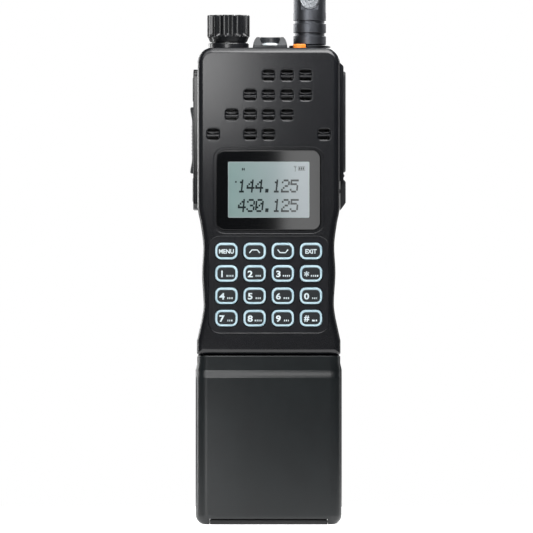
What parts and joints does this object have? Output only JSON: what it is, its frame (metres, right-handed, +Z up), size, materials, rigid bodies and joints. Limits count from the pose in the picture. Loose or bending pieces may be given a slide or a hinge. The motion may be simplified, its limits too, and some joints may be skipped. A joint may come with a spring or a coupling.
{
  "type": "handheld radio transceiver",
  "caption": "Tall handheld two-way radio with keypad, display, side keys, volume knob, folding blade antenna, removable battery base and belt clip.",
  "frame": {"origin": "centre of the flat underside of the battery pack", "axes": "+Z up the radio towards the antenna, -Y out of the front face with the keypad, +X to the right seen from the front"},
  "size_m": [0.0781, 0.0512, 0.4353],
  "materials": {
    "casing": "satin moulded polycarbonate blend, near black",
    "battery_plastic": "satin moulded plastic, dark grey",
    "foot_plastic": "dark plastic",
    "knob_plastic": "satin plastic, near black",
    "clip_plastic": "glass-filled plastic, near black",
    "inner_plastic": "natural white plastic",
    "key_rubber": "silicone rubber key with a translucent pale blue rim",
    "side_key_rubber": "satin moulded rubber",
    "soft_rubber": "matt soft rubber",
    "seal_rubber": "silicone rubber",
    "lens": "gloss black printed window with a clear middle",
    "liquid_crystal": "pale grey-green display",
    "clear_lens": "clear moulded lens",
    "orange_button": "orange moulded plastic",
    "antenna_coat": "black coated spring strip",
    "anodised": "black anodised, turned",
    "steel": "plain",
    "dark_steel": "black painted steel",
    "brass": "gold plated",
    "tinned": "tinned",
    "cast_chassis": "as cast",
    "speaker_metal": "zinc plated",
    "cell_wrap": "shrink sleeve",
    "circuit": "green solder mask",
    "cloth": "fine black dust cloth"
  },
  "bodies": {
    "radio": {"front_case": "casing", "rear_case": "casing", "case_seal": "seal_rubber", "case_screw_left": "steel", "case_screw_right": "steel", "lcd_lens": "lens", "lcd_panel": "liquid_crystal", "lcd_frame": "inner_plastic", "keypad_mat": "seal_rubber", "speaker_mesh": "cloth", "speaker": "speaker_metal", "microphone": "steel", "main_board": "circuit", "rf_shield": "tinned", "chassis": "cast_chassis", "side_key_frame": "casing", "cover_anchor": "soft_rubber", "cover_screw": "steel", "jack_block": "inner_plastic", "volume_switch": "tinned", "antenna_connector": "brass", "antenna_base": "anodised", "antenna_pivot": "steel", "torch_housing": "casing", "torch_lens": "clear_lens", "body_contacts": "brass", "clip_bracket": "dark_steel", "clip_pin": "steel", "clip_spring": "steel"},
    "battery": {"battery_shell": "battery_plastic", "battery_foot": "foot_plastic", "battery_lid": "battery_plastic", "battery_contacts": "brass", "battery_cells": "cell_wrap"},
    "ptt_bar": {"ptt_bar": "side_key_rubber"},
    "upper_side_key": {"upper_side_key": "side_key_rubber"},
    "lower_side_key": {"lower_side_key": "side_key_rubber"},
    "jack_cover": {"jack_cover": "soft_rubber"},
    "volume_knob": {"volume_knob": "knob_plastic", "volume_shaft": "steel"},
    "antenna_blade": {"antenna_blade": "antenna_coat"},
    "alarm_button": {"alarm_button": "orange_button"},
    "battery_latch": {"battery_latch": "casing"},
    "belt_clip": {"belt_clip": "clip_plastic"},
    "key_menu": {"key_menu": "key_rubber"},
    "key_up": {"key_up": "key_rubber"},
    "key_down": {"key_down": "key_rubber"},
    "key_exit": {"key_exit": "key_rubber"},
    "key_1": {"key_1": "key_rubber"},
    "key_2": {"key_2": "key_rubber"},
    "key_3": {"key_3": "key_rubber"},
    "key_star": {"key_star": "key_rubber"},
    "key_4": {"key_4": "key_rubber"},
    "key_5": {"key_5": "key_rubber"},
    "key_6": {"key_6": "key_rubber"},
    "key_0": {"key_0": "key_rubber"},
    "key_7": {"key_7": "key_rubber"},
    "key_8": {"key_8": "key_rubber"},
    "key_9": {"key_9": "key_rubber"},
    "key_hash": {"key_hash": "key_rubber"}
  },
  "joints": [
    {"name": "key_menu_press", "type": "slide", "parent": "radio", "child": "key_menu", "axis": [0, 1, 0], "range_m": [0, 0.0008], "stiffness_N_per_m": 400},
    {"name": "key_up_press", "type": "slide", "parent": "radio", "child": "key_up", "axis": [0, 1, 0], "range_m": [0, 0.0008], "stiffness_N_per_m": 400},
    {"name": "key_down_press", "type": "slide", "parent": "radio", "child": "key_down", "axis": [0, 1, 0], "range_m": [0, 0.0008], "stiffness_N_per_m": 400},
    {"name": "key_exit_press", "type": "slide", "parent": "radio", "child": "key_exit", "axis": [0, 1, 0], "range_m": [0, 0.0008], "stiffness_N_per_m": 400},
    {"name": "key_1_press", "type": "slide", "parent": "radio", "child": "key_1", "axis": [0, 1, 0], "range_m": [0, 0.0008], "stiffness_N_per_m": 400},
    {"name": "key_2_press", "type": "slide", "parent": "radio", "child": "key_2", "axis": [0, 1, 0], "range_m": [0, 0.0008], "stiffness_N_per_m": 400},
    {"name": "key_3_press", "type": "slide", "parent": "radio", "child": "key_3", "axis": [0, 1, 0], "range_m": [0, 0.0008], "stiffness_N_per_m": 400},
    {"name": "key_star_press", "type": "slide", "parent": "radio", "child": "key_star", "axis": [0, 1, 0], "range_m": [0, 0.0008], "stiffness_N_per_m": 400},
    {"name": "key_4_press", "type": "slide", "parent": "radio", "child": "key_4", "axis": [0, 1, 0], "range_m": [0, 0.0008], "stiffness_N_per_m": 400},
    {"name": "key_5_press", "type": "slide", "parent": "radio", "child": "key_5", "axis": [0, 1, 0], "range_m": [0, 0.0008], "stiffness_N_per_m": 400},
    {"name": "key_6_press", "type": "slide", "parent": "radio", "child": "key_6", "axis": [0, 1, 0], "range_m": [0, 0.0008], "stiffness_N_per_m": 400},
    {"name": "key_0_press", "type": "slide", "parent": "radio", "child": "key_0", "axis": [0, 1, 0], "range_m": [0, 0.0008], "stiffness_N_per_m": 400},
    {"name": "key_7_press", "type": "slide", "parent": "radio", "child": "key_7", "axis": [0, 1, 0], "range_m": [0, 0.0008], "stiffness_N_per_m": 400},
    {"name": "key_8_press", "type": "slide", "parent": "radio", "child": "key_8", "axis": [0, 1, 0], "range_m": [0, 0.0008], "stiffness_N_per_m": 400},
    {"name": "key_9_press", "type": "slide", "parent": "radio", "child": "key_9", "axis": [0, 1, 0], "range_m": [0, 0.0008], "stiffness_N_per_m": 400},
    {"name": "key_hash_press", "type": "slide", "parent": "radio", "child": "key_hash", "axis": [0, 1, 0], "range_m": [0, 0.0008], "stiffness_N_per_m": 400},
    {"name": "ptt_press", "type": "slide", "parent": "radio", "child": "ptt_bar", "axis": [1, 0, 0], "range_m": [0, 0.0012], "stiffness_N_per_m": 1200},
    {"name": "upper_side_key_press", "type": "slide", "parent": "radio", "child": "upper_side_key", "axis": [1, 0, 0], "range_m": [0, 0.0008], "stiffness_N_per_m": 600},
    {"name": "lower_side_key_press", "type": "slide", "parent": "radio", "child": "lower_side_key", "axis": [1, 0, 0], "range_m": [0, 0.0008], "stiffness_N_per_m": 600},
    {"name": "alarm_press", "type": "slide", "parent": "radio", "child": "alarm_button", "axis": [0, 0, -1], "range_m": [0, 0.0008], "stiffness_N_per_m": 500},
    {"name": "battery_release", "type": "slide", "parent": "radio", "child": "battery", "axis": [0, 0, -1], "range_m": [0, 0.03]},
    {"name": "latch_release", "type": "slide", "parent": "battery", "child": "battery_latch", "axis": [0, 0, -1], "range_m": [0, 0.003], "stiffness_N_per_m": 300},
    {"name": "volume_turn", "type": "hinge", "parent": "radio", "child": "volume_knob", "pos_m": [-0.0202, 0, 0.2485], "axis": [0, 0, -1], "range_deg": [0, 290]},
    {"name": "antenna_fold", "type": "hinge", "parent": "radio", "child": "antenna_blade", "pos_m": [0.0206, 0.002, 0.26325], "axis": [0, 1, 0], "range_deg": [-90, 90]},
    {"name": "jack_cover_open", "type": "hinge", "parent": "radio", "child": "jack_cover", "pos_m": [0.03695, 0, 0.1745], "axis": [0, 1, 0], "range_deg": [0, 90]},
    {"name": "belt_clip_open", "type": "hinge", "parent": "radio", "child": "belt_clip", "pos_m": [0, 0.0249, 0.214], "axis": [1, 0, 0], "range_deg": [0, 15], "stiffness_Nm_per_rad": 0.4}
  ]
}
